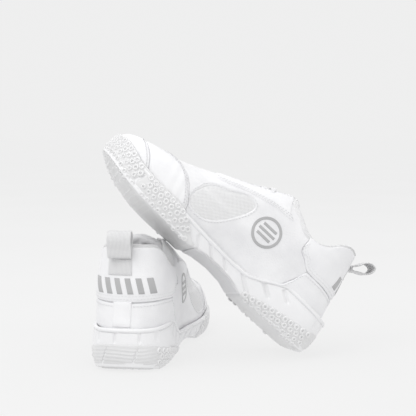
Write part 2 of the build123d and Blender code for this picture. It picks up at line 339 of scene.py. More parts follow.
# ---- materials ----
def material(name, colour, rough, build, sheen=0.0, specular=.5, subsurface=0.0):
    """A node material: build(nodes, links, shader) adds its colour variation and bump."""
    m = bpy.data.materials.new(name)
    m.use_nodes = True
    nodes, links = m.node_tree.nodes, m.node_tree.links
    shader = nodes["Principled BSDF"]
    shader.inputs["Base Color"].default_value = (*colour, 1)
    shader.inputs["Roughness"].default_value = rough
    shader.inputs["Specular IOR Level"].default_value = specular
    shader.inputs["Sheen Weight"].default_value = sheen
    shader.inputs["Subsurface Weight"].default_value = subsurface
    shader.inputs["Subsurface Radius"].default_value = (.002, .002, .002)
    build(nodes, links, shader)
    return m


def coordinates(nodes, kind="Object"):
    for n in nodes:
        if n.type == "TEX_COORD":
            return n.outputs[kind]
    return nodes.new("ShaderNodeTexCoord").outputs[kind]


def noise(nodes, links, scale, detail=3.0, rough=.55):
    n = nodes.new("ShaderNodeTexNoise")
    n.inputs["Scale"].default_value = scale
    n.inputs["Detail"].default_value = detail
    n.inputs["Roughness"].default_value = rough
    links.new(coordinates(nodes), n.inputs["Vector"])
    return n.outputs["Fac"]


def voronoi(nodes, links, scale, feature="F1"):
    n = nodes.new("ShaderNodeTexVoronoi")
    n.feature = feature
    n.inputs["Scale"].default_value = scale
    links.new(coordinates(nodes), n.inputs["Vector"])
    return n.outputs["Distance"]


def ramp(nodes, links, value, stops):
    n = nodes.new("ShaderNodeValToRGB")
    n.color_ramp.elements[0].position, n.color_ramp.elements[1].position = stops[0][0], stops[-1][0]
    for position, _ in stops[1:-1]:
        n.color_ramp.elements.new(position)
    for element, (_, colour) in zip(n.color_ramp.elements, stops):
        element.color = (*colour, 1) if len(colour) == 3 else colour
    links.new(value, n.inputs["Fac"])
    return n.outputs["Color"]


def math_node(nodes, links, op, *values):
    n = nodes.new("ShaderNodeMath")
    n.operation = op
    for i, v in enumerate(values):
        if isinstance(v, (int, float)):
            n.inputs[i].default_value = v
        else:
            links.new(v, n.inputs[i])
    return n.outputs[0]


def bump(nodes, links, shader, layers):
    """Bump from (height, distance in metres, strength) layers, one on another."""
    normal = None
    for value, distance, strength in layers:
        n = nodes.new("ShaderNodeBump")
        n.inputs["Distance"].default_value = distance
        n.inputs["Strength"].default_value = strength
        links.new(value, n.inputs["Height"])
        if normal:
            links.new(normal, n.inputs["Normal"])
        normal = n.outputs["Normal"]
    links.new(normal, shader.inputs["Normal"])


def shade(nodes, links, shader, value, dark, light):
    links.new(ramp(nodes, links, value, [(.3, dark), (.7, light)]), shader.inputs["Base Color"])


def leather(grain, strength, dark, light):
    def build(nodes, links, shader):
        broad = noise(nodes, links, 38, 4)
        shade(nodes, links, shader, broad, dark, light)
        cells = voronoi(nodes, links, grain, "SMOOTH_F1")
        wrinkle = noise(nodes, links, 160, 5, .6)
        bump(nodes, links, shader, [(cells, .0004, strength), (wrinkle, .0008, strength * .7)])
        links.new(ramp(nodes, links, noise(nodes, links, 90, 3), [(.35, (.40,) * 3), (.7, (.54,) * 3)]),
                  shader.inputs["Roughness"])
    return build


def weave(nodes, links, pitch_u, pitch_v):
    """Over-and-under height of a plain weave, its pitch in millimetres of the UV map."""
    split = nodes.new("ShaderNodeSeparateXYZ")
    links.new(coordinates(nodes, "UV"), split.inputs[0])
    a = math_node(nodes, links, "SINE",
                  math_node(nodes, links, "MULTIPLY", split.outputs[0], 2 * math.pi / pitch_u))
    b = math_node(nodes, links, "SINE",
                  math_node(nodes, links, "MULTIPLY", split.outputs[1], 2 * math.pi / pitch_v))
    return a, b


def knit(dark, light, pitch, depth):
    def build(nodes, links, shader):
        a, b = weave(nodes, links, pitch, pitch * 1.15)
        holes = math_node(nodes, links, "MULTIPLY", a, b)
        fibre = noise(nodes, links, 1500, 2)
        level = math_node(nodes, links, "ADD", math_node(nodes, links, "MULTIPLY", holes, .42), .5)
        links.new(ramp(nodes, links, level, [(.12, dark), (.45, light), (1, light)]),
                  shader.inputs["Base Color"])
        bump(nodes, links, shader, [(level, depth, .9), (fibre, .0002, .5)])
    return build


def ribbed(dark, light, pitch_u, pitch_v):
    def build(nodes, links, shader):
        a, b = weave(nodes, links, pitch_u, pitch_v)
        level = math_node(nodes, links, "ADD", math_node(nodes, links, "MULTIPLY",
                          math_node(nodes, links, "ADD", a, math_node(nodes, links, "MULTIPLY", b, .6)), .3),
                          .5)
        fibre = noise(nodes, links, 1800, 2)
        links.new(ramp(nodes, links, level, [(.1, dark), (.6, light)]), shader.inputs["Base Color"])
        bump(nodes, links, shader, [(level, .0004, .8), (fibre, .0002, .4)])
    return build


def moulded(dark, light, pores, strength):
    def build(nodes, links, shader):
        shade(nodes, links, shader, noise(nodes, links, 22, 4), dark, light)
        bump(nodes, links, shader, [(voronoi(nodes, links, pores), .0003, strength),
                                    (noise(nodes, links, 420, 3), .0003, strength)])
    return build


WHITE, SHADE = (.87, .87, .88), (.80, .80, .815)
MATERIALS = {
    "leather": material("white_leather", WHITE, .46, leather(1050, .35, SHADE, WHITE), specular=.45),
    "soft_leather": material("soft_leather", WHITE, .55, leather(720, .5, (.76, .76, .775), (.85, .85, .86)),
                             sheen=.15),
    "mesh": material("knit_mesh", WHITE, .8, knit((.66, .66, .67), (.87, .87, .875), 1.7, .0006), sheen=.25),
    "foam": material("midsole_foam", WHITE, .6, moulded((.81, .81, .82), (.87, .87, .88), 2600, .25),
                     subsurface=.05),
    # The sole's rubber skin is the lug rubber painted a step darker: painted shade between the lugs, down the
    # sole's side and under it.
    "rubber": material("sole_rubber_painted_shade", WHITE, .5, moulded((.70, .70, .705), (.77, .77, .775), 1900, .3)),
    "lug": material("lug_rubber", WHITE, .5, moulded((.76, .76, .765), (.83, .83, .835), 1900, .3)),
    "thread": material("seam_thread", WHITE, .6, ribbed((.6, .6, .62), (.86, .86, .87), 1.1, 1.1), sheen=.3),
    "lining": material("knit_lining", WHITE, .85, knit((.72, .72, .73), (.87, .87, .875), 1.4, .0005),
                       sheen=.4),
    "lace": material("woven_lace", WHITE, .7, ribbed((.66, .66, .68), (.88, .88, .89), 1.3, .9), sheen=.3),
    "tape": material("woven_tape", WHITE, .75, ribbed((.60, .60, .61), (.80, .80, .805), 1.2, .8), sheen=.3),
    "print": material("grey_print", (.3, .3, .31), .5, moulded((.40, .40, .405), (.50, .50, .505), 1500, .4)),
    "plate": material("arch_plate", WHITE, .4, moulded((.72, .72, .73), (.78, .78, .79), 900, .15)),
    "board": material("fibre_board", WHITE, .8, moulded((.45, .42, .36), (.6, .56, .5), 700, .5)),
}


# ---- placing both shoes ----
JOINTS = {j["name"]: j for j in frame["joints"]}


def placement(side):
    """Matrix from a right shoe's frame in millimetres to the row frame in metres, for each shoe."""
    point = lambda name: np.array(JOINTS[f"{side}_{name}"]["pos_m"], float)
    x = np.array(JOINTS[f"{side}_toe_flex"]["axis"], float)
    flex, tab = point("toe_flex"), point("pull_tab_fold")
    chord = flex - tab
    chord -= x * chord.dot(x)
    chord /= np.linalg.norm(chord)
    tilt = math.atan2(FLEX_Z - TAB_Z, FLEX_Y - TAB_Y)
    normal = np.cross(x, chord)
    y = chord * math.cos(tilt) - normal * math.sin(tilt)
    z = np.cross(x, y)
    mirror = -1 if side == "left" else 1
    m = np.eye(4)
    m[:3, 0], m[:3, 1], m[:3, 2] = x * mirror * MM, y * MM, z * MM
    m[:3, 3] = flex - (y * FLEX_Y + z * FLEX_Z) * MM
    return m


PLACES = {side: placement(side) for side in ("right", "left")}


def fold_tab(p):
    """Turns points about the pull tab's fold line by the angle at which the left shoe's tab lies."""
    y, z = p[:, 1] - TAB_Y, p[:, 2] - TAB_Z
    c, s = math.cos(LEFT_TAB_FOLD), math.sin(LEFT_TAB_FOLD)
    return np.stack([p[:, 0], TAB_Y + y * c - z * s, TAB_Z + y * s + z * c], 1)


BEND_FROM, BEND_TO = (0, 174, 30), (0, 202, 30)


def add(name, patch, look, rides="shoe", replaces=(), sides=("right", "left"),
        merge=.02, solid=0):
    """One piece of each shoe. rides is a body, or "shoe-forefoot", for which the piece is baked in place and
    joined to no body.
    """
    for side in sides:
        p = np.array(patch.verts, float)
        if side == "left" and rides == "pull_tab":
            p = fold_tab(p)
        p = p @ PLACES[side][:3, :3].T + PLACES[side][:3, 3]
        mesh = bpy.data.meshes.new(f"{side}_{name}")
        faces = [f[::-1] for f in patch.faces] if side == "left" else patch.faces
        mesh.from_pydata(p.tolist(), [], faces)
        uv = mesh.uv_layers.new(name="UVMap")
        index = np.zeros(len(mesh.loops), int)
        mesh.loops.foreach_get("vertex_index", index)
        uv.data.foreach_set("uv", np.array(patch.uv, float)[index].ravel())
        obj = bpy.data.objects.new(f"{side}_{name}", mesh)
        bpy.context.scene.collection.objects.link(obj)
        apply_modifiers(obj, merge, solid)
        for f in obj.data.polygons:
            f.use_smooth = True
        obj.data.materials.append(MATERIALS[look])
        if rides == "shoe-forefoot":
            to_row(side, BEND_FROM)
            to_row(side, BEND_TO)
            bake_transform(obj)
        else:
            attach(obj, f"{side}_{rides}")
        if replaces:
            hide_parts(*(f"{side}_{n}" for n in replaces))


def to_row(side, point):
    return tuple(PLACES[side][:3, :3] @ np.array(point, float) + PLACES[side][:3, 3])


def apply_modifiers(obj, merge, solid):
    if merge:
        m = obj.modifiers.new("merge", "WELD")
        m.merge_threshold = merge * MM
    if solid:
        m = obj.modifiers.new("solid", "SOLIDIFY")
        m.thickness, m.offset = solid * MM, -1
    if not obj.modifiers:
        return
    graph = bpy.context.evaluated_depsgraph_get()
    mesh = bpy.data.meshes.new_from_object(obj.evaluated_get(graph))
    obj.modifiers.clear()
    obj.data = mesh


# ---- lines on the upper ----
def on_line(line, u, lift=0.0):
    """Where a side-view line crosses the upper at each u: (u, v) rows."""
    u = np.asarray(u, float)
    v = np.full_like(u, 3.0 if line is BEAD else 11.0)
    for _ in range(12):
        v = .5 * v + .5 * v_at(height(line, sample(SKIN, u, v)[:, 1]) + lift)
    return np.stack([u, v], 1)


def over_toe(outer, inner):
    return np.concatenate([outer, inner[::-1][1:] + [SPANS, 0]])


def even(line, n=LINE_POINTS):
    """A (u, v) line with n points evenly spaced along the leather."""
    p = skin(line[:, 0], line[:, 1])
    run = np.r_[0, np.cumsum(np.linalg.norm(np.diff(p, axis=0), axis=1))]
    return np.stack([np.interp(np.linspace(0, run[-1], n), run, c) for c in line.T], 1)


def bead_u(side, y):
    v = v_at(height(BEAD, y) - 2)
    return float(u_at(side, [y], [v])[0])


TOE_SEAM = [(222, 20), (226, 27), (232, 35.5), (239, 42.5), (243.5, 46.5), (244, 49.2)]
VAMP_SEAM = [(175, 17), (177.5, 25), (183, 33), (191, 42.5), (201, 49), (212, 52.8), (222, 54.6)]
HEEL_TOP_SEAM = [(71, 84), (70, 71), (62, 65.5), (55, 60.5), (46, 59.3), (34, 60)]
COUNTER_EDGE = [(66, 31), (62, 37), (57.5, 46), (53, 58), (46, 59.3), (34, 60)]


def heel_line(side, points, z_back, n=60):
    """A seam on one side, run on round the heel's back at height z_back."""
    line = seam(side, points, n)
    u_end = line[-1, 0]
    rest = np.stack([np.linspace(u_end, 0, 20), np.linspace(line[-1, 1], v_at(z_back), 20)], 1)[1:]
    return np.concatenate([line, rest])


def topline(side, y_from, n=140):
    """The collar's edge on one side, from y_from back to the heel."""
    v = v_at(height(TOPLINE, y_from))
    return on_line(TOPLINE, np.linspace(float(u_at(side, [y_from], [v])[0]), 0, n))


# ---- the upper ----
WINDOW = [(181, 34), (179, 46), (172, 57), (156, 64.5), (137, 73), (130.5, 70), (133, 57), (140, 45),
          (148, 35), (156, 28.5), (166, 26), (176, 27.5)]
WINDOW_MID = np.array([157, 48.0])


def quarter_outline(side):
    """The quarter's outline as side-view points, from the bead by the vamp, up, back and forward again."""
    def yz(line):
        return sample(SKIN, line[:, 0], line[:, 1])[:, 1:]
    vamp = seam(side, VAMP_SEAM, 50)
    ridge = np.stack([np.full(24, 7.0 * side), np.linspace(vamp[-1, 1], v_at(77), 24)], 1)
    edge = throat_edge(side, 60)[::-1]
    top = topline(side, 104)
    top = top[yz(top)[:, 0] > 68]
    heel = seam(side, HEEL_TOP_SEAM[:4] + [(53, 58), (57.5, 46), (62, 37), (66, 31)], 50)
    bead = on_line(BEAD, np.linspace(bead_u(side, 66), bead_u(side, 175), 90), -2.5)
    loop = np.concatenate([vamp, ridge, edge, top, heel, bead])
    return even(np.concatenate([loop, loop[:1]]), 260)


def window_loop(outline, side, points=WINDOW, mid=WINDOW_MID):
    """The window's edge, matched to the outline by direction from the window's middle."""
    ring = closed_spline([(y, z, 0) for y, z in points], 24)[:, :2] - mid
    angle = np.arctan2(ring[:, 1], ring[:, 0])
    order = np.argsort(angle)
    out = sample(SKIN, outline[:, 0], outline[:, 1])[:, 1:] - mid
    at = np.arctan2(out[:, 1], out[:, 0])
    reach = np.interp(at, angle[order], np.hypot(*ring[order].T), period=2 * math.pi)
    y, z = mid[0] + reach * np.cos(at), mid[1] + reach * np.sin(at)
    v = v_at(z)
    return np.stack([u_at(side, y, v), v], 1)


def ring_panel(inner, outer, across, thick, edge=1.2):
    """A panel between two closed (u, v) loops, with rounded edges on both."""
    a, b = skin(inner[:, 0], inner[:, 1]), skin(outer[:, 0], outer[:, 1])
    w = np.linalg.norm(a - b, axis=1)
    s = np.array([edge_steps(max(x, .6), across, edge) for x in w]).T
    uv = inner[None] * (1 - s[..., None]) + outer[None] * s[..., None]
    inset = np.minimum(s, 1 - s) * w[None]
    rise = np.sqrt(1 - (1 - np.clip(inset / edge, 0, 1)) ** 2)
    return skin(uv[..., 0], uv[..., 1], -.25 + (thick + .25) * rise)


def beside(inner, outer, by, off):
    """Line a distance by from the inner loop towards the outer, lifted by off, and its normals."""
    a, b = skin(inner[:, 0], inner[:, 1]), skin(outer[:, 0], outer[:, 1])
    s = np.clip(by / np.maximum(np.linalg.norm(a - b, axis=1), 1), 0, 1)[:, None]
    uv = inner * (1 - s) + outer * s
    return skin(uv[:, 0], uv[:, 1], off), sample(NORMALS, uv[:, 0], uv[:, 1])


def creases(p):
    """Soft folds across the ball of the foot, where the shoe bends."""
    y, z = p[..., 1], p[..., 2]
    along = y - .25 * (z - 40)
    fade = np.exp(-((along - 196) / 15) ** 2)
    return .28 * fade * np.sin(along * .62 + .02 * p[..., 0] * np.sin(p[..., 0] * .11))


outlines = {side: quarter_outline(side) for side in (1, -1)}
windows = {side: window_loop(outlines[side], side) for side in (1, -1)}
toe_seam = over_toe(seam(1, TOE_SEAM), seam(-1, TOE_SEAM))
vamp_seam = over_toe(seam(1, VAMP_SEAM), seam(-1, VAMP_SEAM))
toe_low = on_line(BEAD, np.linspace(bead_u(1, 222), SPANS + bead_u(-1, 222), 160), -2.5)
heel_low = np.concatenate([heel_line(1, HEEL_TOP_SEAM, 60), heel_line(-1, HEEL_TOP_SEAM, 60)[::-1][1:]])
heel_high = np.concatenate([topline(1, 71), topline(-1, 71)[::-1][1:]])
counter_high = np.concatenate([heel_line(1, COUNTER_EDGE, 59.2), heel_line(-1, COUNTER_EDGE, 59.2)[::-1][1:]])
counter_low = on_line(BEAD, np.linspace(bead_u(1, 66), bead_u(-1, 66), 160), -2.5)

thread = Patch()
base_low = {s: on_line(BEAD, np.linspace(0, 7 * s, 200), -4) for s in (1, -1)}


def base_top(side):
    top = topline(side, 104)[::-1]
    edge = throat_edge(side, 60)
    return np.concatenate([even(top, 120), even(edge, 81)[1:]])


def shell(off, rows=46):
    """The whole upper as one surface, moved out by off."""
    grids = []
    for side in (1, -1):
        low, high = base_low[side], base_top(side)
        s = np.linspace(0, 1, rows)[:, None, None]
        uv = low[None] * (1 - s) + high[None] * s
        grids.append((side, skin(uv[..., 0], uv[..., 1], off)))
    return grids


for name, off, look, nodes in (("upper_base", -.35, "soft_leather", ("vamp_crease",)),
                               ("upper_lining", -2.6, "lining", ())):
    patch = Patch()
    for side, g in shell(off):
        patch.grid(g, flip=(side < 0) != (off < -1))
    add(name, patch, look, rides="shoe-forefoot", replaces=nodes,
        solid=.9 if off > -1 else 0, merge=.05)

for side, word in ((1, "outer"), (-1, "inner")):
    outline, window = outlines[side], windows[side]
    leather_piece = Patch().grid(ring_panel(window, outline, 44, 1.0), flip=side < 0)
    add(f"{word}_quarter_leather", leather_piece, "soft_leather", rides="shoe-forefoot",
        replaces=(f"{word}_quarter",))
    mid = window.mean(0)
    s = np.linspace(0, 1.04, 26)[:, None, None]
    uv = mid + (window[None] - mid) * s
    knit_piece = Patch().grid(skin(uv[..., 0], uv[..., 1], .25 + .9 * (1 - np.clip(s[..., 0], 0, 1) ** 2)),
                              flip=side < 0)
    flat = sample(SKIN, uv[..., 0], uv[..., 1])
    knit_piece.uv = [tuple(q) for q in flat[..., 1:].reshape(-1, 2)]
    add(f"{word}_window_knit", knit_piece, "mesh", rides="shoe-forefoot", replaces=(f"{word}_mesh",))
    stitches(thread, beside(window, outline, 2.2, 1.02))

    low = np.stack([u_at(side, [93, 104, 118, 134, 150, 163, 174], v_at([85, 84, 82, 78, 73, 68.5, 66])),
                    v_at([85, 84, 82, 78, 73, 68.5, 66])], 1)
    low = even(smooth_rows(low, np.linspace(0, 6, 80)), 80)
    high = even(throat_edge(side, 80, extra=-.3), 80)
    add(f"{word}_eyestay_leather", Patch().grid(panel(low, high, 20, 90, thick=2.0, puff=.25), flip=side < 0),
        "leather", replaces=(f"{word}_eyestay",), rides="shoe")
    for by in (2.2, 4.4):
        stitches(thread, beside(low, high, by, 2.05))
    stitches(thread, beside(high, low, 2.2, 2.05))

toe = Patch().grid(panel(toe_low, toe_seam, 34, 150, thick=1.5, puff=.3))
add("toe_leather", toe, "leather", rides="forefoot", replaces=("toe_cap",))
vamp_lo, vamp_hi = even(toe_seam), even(vamp_seam)
vamp = Patch().grid(panel(vamp_lo, vamp_hi, 40, 170, thick=1.35, puff=.15, relief=creases))
add("vamp_leather_piece", vamp, "leather", rides="shoe-forefoot", replaces=("vamp",))
heel = Patch().grid(panel(even(heel_low), even(heel_high), 34, 150, thick=1.9, puff=.5), flip=True)
add("heel_upper_leather", heel, "leather", replaces=("heel_panel",))
counter = Patch().grid(panel(even(counter_low), even(counter_high), 28, 150, thick=1.8, puff=.4), flip=True)
add("counter_leather_piece", counter, "leather", replaces=("heel_counter",))

for line, other, distances in ((toe_seam, toe_low, (2.3,)), (vamp_hi, vamp_lo, (2.3, 4.6)),
                               (even(heel_low), even(heel_high), (2.4, 4.8)),
                               (even(heel_high), even(heel_low), (22.0,)),
                               (even(counter_high), even(counter_low), (2.4,))):
    a, b = even(line), even(other)
    for by in distances:
        stitches(thread, beside(a[8:-8], b[8:-8], by, 1.9))
add("upper_stitching", thread, "thread", rides="shoe-forefoot", merge=0)


# ---- collar and tongue ----
def settle(patch, held, columns, pressure, frames=12):
    """Lets padding puff out as cloth: held(row, column) says which vertices are sewn down. It is worked out
    at ten times life size, which suits the solver."""
    mesh = bpy.data.meshes.new("settling")
    mesh.from_pydata((np.array(patch.verts) * .01).tolist(), [], patch.faces)
    obj = bpy.data.objects.new("settling", mesh)
    bpy.context.scene.collection.objects.link(obj)
    group = obj.vertex_groups.new(name="sewn")
    group.add([i for i in range(len(patch.verts)) if held(*divmod(i, columns))], 1, "REPLACE")
    cloth = obj.modifiers.new("cloth", "CLOTH")
    cloth.settings.quality, cloth.settings.mass = 8, .3
    cloth.settings.tension_stiffness = cloth.settings.compression_stiffness = 30
    cloth.settings.bending_stiffness = 2
    cloth.settings.vertex_group_mass = "sewn"
    cloth.settings.shrink_min = -.035
    cloth.settings.use_pressure = True
    cloth.settings.uniform_pressure_force = pressure
    cloth.settings.effector_weights.gravity = 0
    cloth.collision_settings.use_collision = False
    cloth.point_cache.frame_start, cloth.point_cache.frame_end = 1, frames
    for frame_number in range(1, frames + 1):
        bpy.context.scene.frame_set(frame_number)
    puffed = obj.evaluated_get(bpy.context.evaluated_depsgraph_get()).data
    moved = np.array([v.co for v in puffed.vertices]) * 100 - np.array(patch.verts)
    far = np.linalg.norm(moved, axis=1, keepdims=True)
    moved *= np.minimum(1, 1.6 / np.maximum(far, 1e-6))
    patch.verts = [tuple(v) for v in np.array(patch.verts) + moved]
    bpy.data.objects.remove(obj)
    bpy.context.scene.frame_set(1)


def collar_roll():
    """Padded rim: over the collar's edge and down inside, fullest a third of the way down."""
    ring = even(np.concatenate([topline(1, 109), topline(-1, 109)[::-1][1:]]), 170)
    z = np.interp(ring[:, 1], ROWS_V, ROW_Z)
    profile = [(-4.5, .7), (-2.6, 1.3), (-.9, 1.4), (.5, .9), (1.5, -.4), (1.9, -2), (1.5, -3.7), (.2, -5.4),
               (-2.2, -6.9), (-5.5, -7.8), (-9.5, -8.1), (-14, -7.7), (-18.5, -6.5), (-23, -4.8), (-27, -3.1)]
    profile = open_curve([(a, b) for a, b in profile], 34)
    ripple = .35 * np.sin(np.arange(len(ring)) * .9) * np.sin(np.arange(len(ring)) * .23)
    rows = []
    for dz, off in profile:
        inside = np.clip(-off / 6, 0, 1)
        taper = np.clip(np.minimum(np.arange(len(ring)), np.arange(len(ring))[::-1]) / 16, .35, 1)
        rows.append(skin(ring[:, 0], v_at(z + dz), (off if off > 0 else off * taper) + ripple * inside))
    return Patch().grid(np.array(rows))


roll = collar_roll()
settle(roll, lambda row, col: row < 5 or row > 31 or col < 3 or col > 166, columns=170, pressure=1.2)
add("collar_foam", roll, "lining", replaces=("collar_padding",))


def section_height(y, x):
    """Height of the upper's ridge line at y, and its fall to each side."""
    ridge = np.interp(y, SECTIONS[:, 2][::-1], SECTIONS[:, 0][::-1])
    return ridge - .011 * np.asarray(x, float) ** 2


def tongue_pad():
    """Padded tongue: up the outside, over a roll at the top, and back down inside."""
    outer = [(170, 71), (160, 76.5), (150, 82.5), (140, 88), (130, 93.5), (122, 98.5), (115, 103),
             (109, 107.5),
             (104, 110.5), (100, 111.6), (96.5, 110), (95.5, 106), (98.5, 102), (105, 98), (115, 92),
             (128, 84.5), (142, 76), (156, 69)]
    path = open_curve(outer, 96)
    mid = open_curve([(170, 69), (156, 74), (140, 82), (125, 90), (112, 98.5), (100, 106.5)], 60)
    half = np.interp(path[:, 0], [95, 104, 120, 170], [24, 24.5, 21, 15])
    cols = np.linspace(-1, 1, 45)
    out = []
    for (y, z), h in zip(path, half):
        near = mid[np.argmin(np.hypot(mid[:, 0] - y, mid[:, 1] - z))]
        row = []
        for c in cols:
            x = c * h
            f = math.sqrt(max(0, 1 - abs(c) ** 5)) * .97 + .03
            yy, zz = near[0] + (y - near[0]) * f, near[1] + (z - near[1]) * f
            curl = np.clip((112 - y) / 10, 0, 1)
            arch = .012 * x * x - 1.4 * (1 - c * c) * np.clip((y - 104) / 8, 0, 1)
            drop = arch * (1 - curl) + curl * (.022 if x > -5 else .010) * (x + 5) ** 2
            wave = .5 * math.sin(y * 2 * math.pi / 8.2 + 1.2) * (1 - curl) * (1 - c * c)
            row.append((x, yy, zz - drop + wave))
        out.append(row)
    return Patch().grid(np.array(out), flip=True)


tongue = tongue_pad()
settle(tongue, lambda row, col: col in (0, 1, 43, 44) or row < 4 or row > 90, columns=45, pressure=1.2)
add("tongue_pad", tongue, "soft_leather", replaces=("tongue",))


# ---- laces and eyelets ----
def lace_rows():
    strands, holes = Patch(), Patch()
    for i in range(5):
        y0 = 158 - 8.2 * i
        half = float(throat_half(y0)) + 6.2
        t = np.linspace(-1, 1, 41)
        x = t * half
        z = section_height(y0, x) + 2.6 - 4.2 * np.abs(t) ** 14
        y = y0 + .7 * math.sin(i * 2.1) * t
        centre = np.stack([x, y, z], 1)
        slope = np.gradient(centre, axis=0)
        slope /= np.linalg.norm(slope, axis=1, keepdims=True)
        up = np.array([0, .52, .85])
        wide = np.cross(up, slope)
        wide /= np.linalg.norm(wide, axis=1, keepdims=True)
        up = np.cross(slope, wide)
        a = np.arange(16) * math.pi / 8
        squash_w, squash_h = 2.7 * np.sign(np.cos(a)) * np.abs(np.cos(a)) ** .5, .65 * np.sin(a)
        ring = (centre[:, None] + wide[:, None] * squash_w[None, :, None]
                + up[:, None] * squash_h[None, :, None])
        strands.grid(ring, wrap=True)
        for k in (0, -1):
            side = -1 if k == 0 else 1
            c = centre[0 if k == 0 else -1] + [0, 0, 2.2]
            n = np.array([.35 * side, .45, .82])
            n /= np.linalg.norm(n)
            e1 = np.cross(n, [0, 1, 0])
            e1 /= np.linalg.norm(e1)
            e2 = np.cross(n, e1)
            b = np.arange(20) * math.pi / 10
            circle = e1 * np.cos(b)[:, None] * 2.7 + e2 * np.sin(b)[:, None] * 2.7
            rings = [c + circle * r + n * h
                     for r, h in ((1.25, -.6), (1.2, .2), (1.0, .5), (.8, .2), (.72, -.8))]
            holes.grid(np.array(rings), wrap=True)
    return strands, holes


strands, holes = lace_rows()
add("lace_strands", strands, "lace", replaces=("laces",), merge=0)
add("lace_holes", holes, "leather", merge=0)


# ---- pull tab ----
def tab_loop():
    path = closed_spline([(0, TAB_Y + a, TAB_Z + b) for a, b in
                          ((-.9, 0), (-3.2, 6), (-5.2, 13), (-4.8, 19), (0, 23.5), (4.8, 19), (5.0, 13),
                           (2.6, 6), (.9, 0))],
                         10)
    d = np.roll(path, -1, 0) - np.roll(path, 1, 0)
    d /= np.linalg.norm(d, axis=1, keepdims=True)
    out = np.cross(d, [1.0, 0, 0])
    a = np.arange(20) * math.pi / 10
    w = TAB_WIDTH / 2 * np.sign(np.cos(a)) * np.abs(np.cos(a)) ** .35
    h = .75 * np.sign(np.sin(a)) * np.abs(np.sin(a)) ** .6
    ring = (path[:, None] + np.array([1.0, 0, 0]) * (w + TAB_X)[None, :, None]
            + out[:, None] * h[None, :, None])
    return Patch().grid(np.concatenate([ring, ring[:1]]), wrap=True)


add("pull_loop", tab_loop(), "tape", rides="pull_tab", replaces=("pull_tab",))


def heel_u(x, v):
    u = np.linspace(-2.4, 2.4, 121)
    return np.interp(x, sample(SKIN, u, np.full_like(u, v))[:, 0], u)


def heel_patch(x0, x1, z0, z1, thick, slant=0.0, n=14, edge=.7, puff=0.0):
    """A small patch on the heel's back between two heights: low and high (u, v) lines."""
    lo, hi = v_at(z0), v_at(z1)
    low = np.stack([heel_u(np.linspace(x1, x0, n), lo), np.full(n, lo)], 1)
    high = np.stack([heel_u(np.linspace(x1, x0, n) + slant, hi), np.full(n, hi)], 1)
    return panel(low, high, 8, 16, thick=thick, edge=edge, puff=puff), low, high


foot, foot_low, foot_high = heel_patch(TAB_X - 10.5, TAB_X + 10.5, 83, 99.5, 3.4)
add("pull_foot", Patch().grid(foot, flip=True), "tape", replaces=("pull_tab_foot",))
foot_thread = Patch()
for by in (1.6, 14.4):
    stitches(foot_thread, beside(even(foot_low, 40), even(foot_high, 40), by, 3.45))
strip = heel_patch(-11, 5, 38, 61, 2.9)[0]
add("counter_strip", Patch().grid(strip, flip=True), "leather")
add("heel_stitching", foot_thread, "thread", merge=0)

# ---- prints: plain slanted bars on the heel and a plain barred ring on the side ----
bars = Patch()
for x in (-23, -14, -5, 4, 13, 22):
    bars.grid(heel_patch(x - 2.6, x + 2.6, 67, 81, 2.75, slant=-3.5, edge=.4)[0], flip=True)
add("heel_bars", bars, "print")


MARK_AT, MARK_RADIUS = (106, 59.5), 15


def side_loop(radius, mid=MARK_AT, n=72):
    a = np.arange(n + 1) * 2 * math.pi / n
    v = v_at(mid[1] + radius * np.sin(a))
    return np.stack([u_at(1, mid[0] + radius * np.cos(a), v), v], 1)


badge = Patch().grid(ring_panel(side_loop(MARK_RADIUS - 3), side_loop(MARK_RADIUS), 6, 1.45, edge=.4))
for k in (-5.2, 0, 5.2):
    reach = math.sqrt((MARK_RADIUS - 5.5) ** 2 - k * k)
    lo, hi = (seam(1, [(MARK_AT[0] - reach, MARK_AT[1] + k + w), (MARK_AT[0] + reach, MARK_AT[1] + k + w)],
                   16, curve=False) for w in (-1.5, 1.5))
    badge.grid(panel(lo, hi, 6, 14, thick=1.45, edge=.4))
add("side_mark", badge, "print", replaces=("side_badge",))


# ---- sole ----
def sole_points(grow):
    h, n, g = HEEL_HALF, SOLE_LENGTH, grow
    return [(0, -g), (h * .6, 5 - g), (h - 2 + g, 34), (h - 2 + g, 80), (h + 1 + g, 120), (48.5 + g, 175),
            (45.5 + g, 218),
            (27 + .7 * g, n - 14 + .7 * g), (-4, n + g), (-31 - .7 * g, n - 14 + .7 * g), (-44 - g, 222),
            (-44 - g, 185), (-33 - g, 130), (-31.5 - g, 80), (-h + 2.5 - g, 34), (-h * .6, 5 - g)]


GROWS = np.linspace(-14, 4, 37)
RINGS = np.array([closed_spline([(x, y, 0) for x, y in sole_points(g)], 45)[:, :2] for g in GROWS])


def sole_at(col, grow):
    """Point in plan on the sole's outline, grown by grow; col counts round it from the heel's back."""
    k = np.interp(grow, GROWS, np.arange(len(GROWS)))
    i = np.minimum(np.floor(k).astype(int), len(GROWS) - 2)
    f = (k - i)[..., None]
    return RINGS[i, col] * (1 - f) + RINGS[i + 1, col] * f


def wall_grow(z):
    return np.interp(z, [-1, 5, 14, 26, 42], [-3, -.6, .6, .3, -1.5])


GROOVES = [((151, 12.5), (144, 3)), ((138, 15.5), (127, 5.5)), ((120, 15.8), (111, 7.5)), ((98, 17), (84, 7)),
           ((78, 25), (65, 17)), ((57, 31.5), (48, 26))]


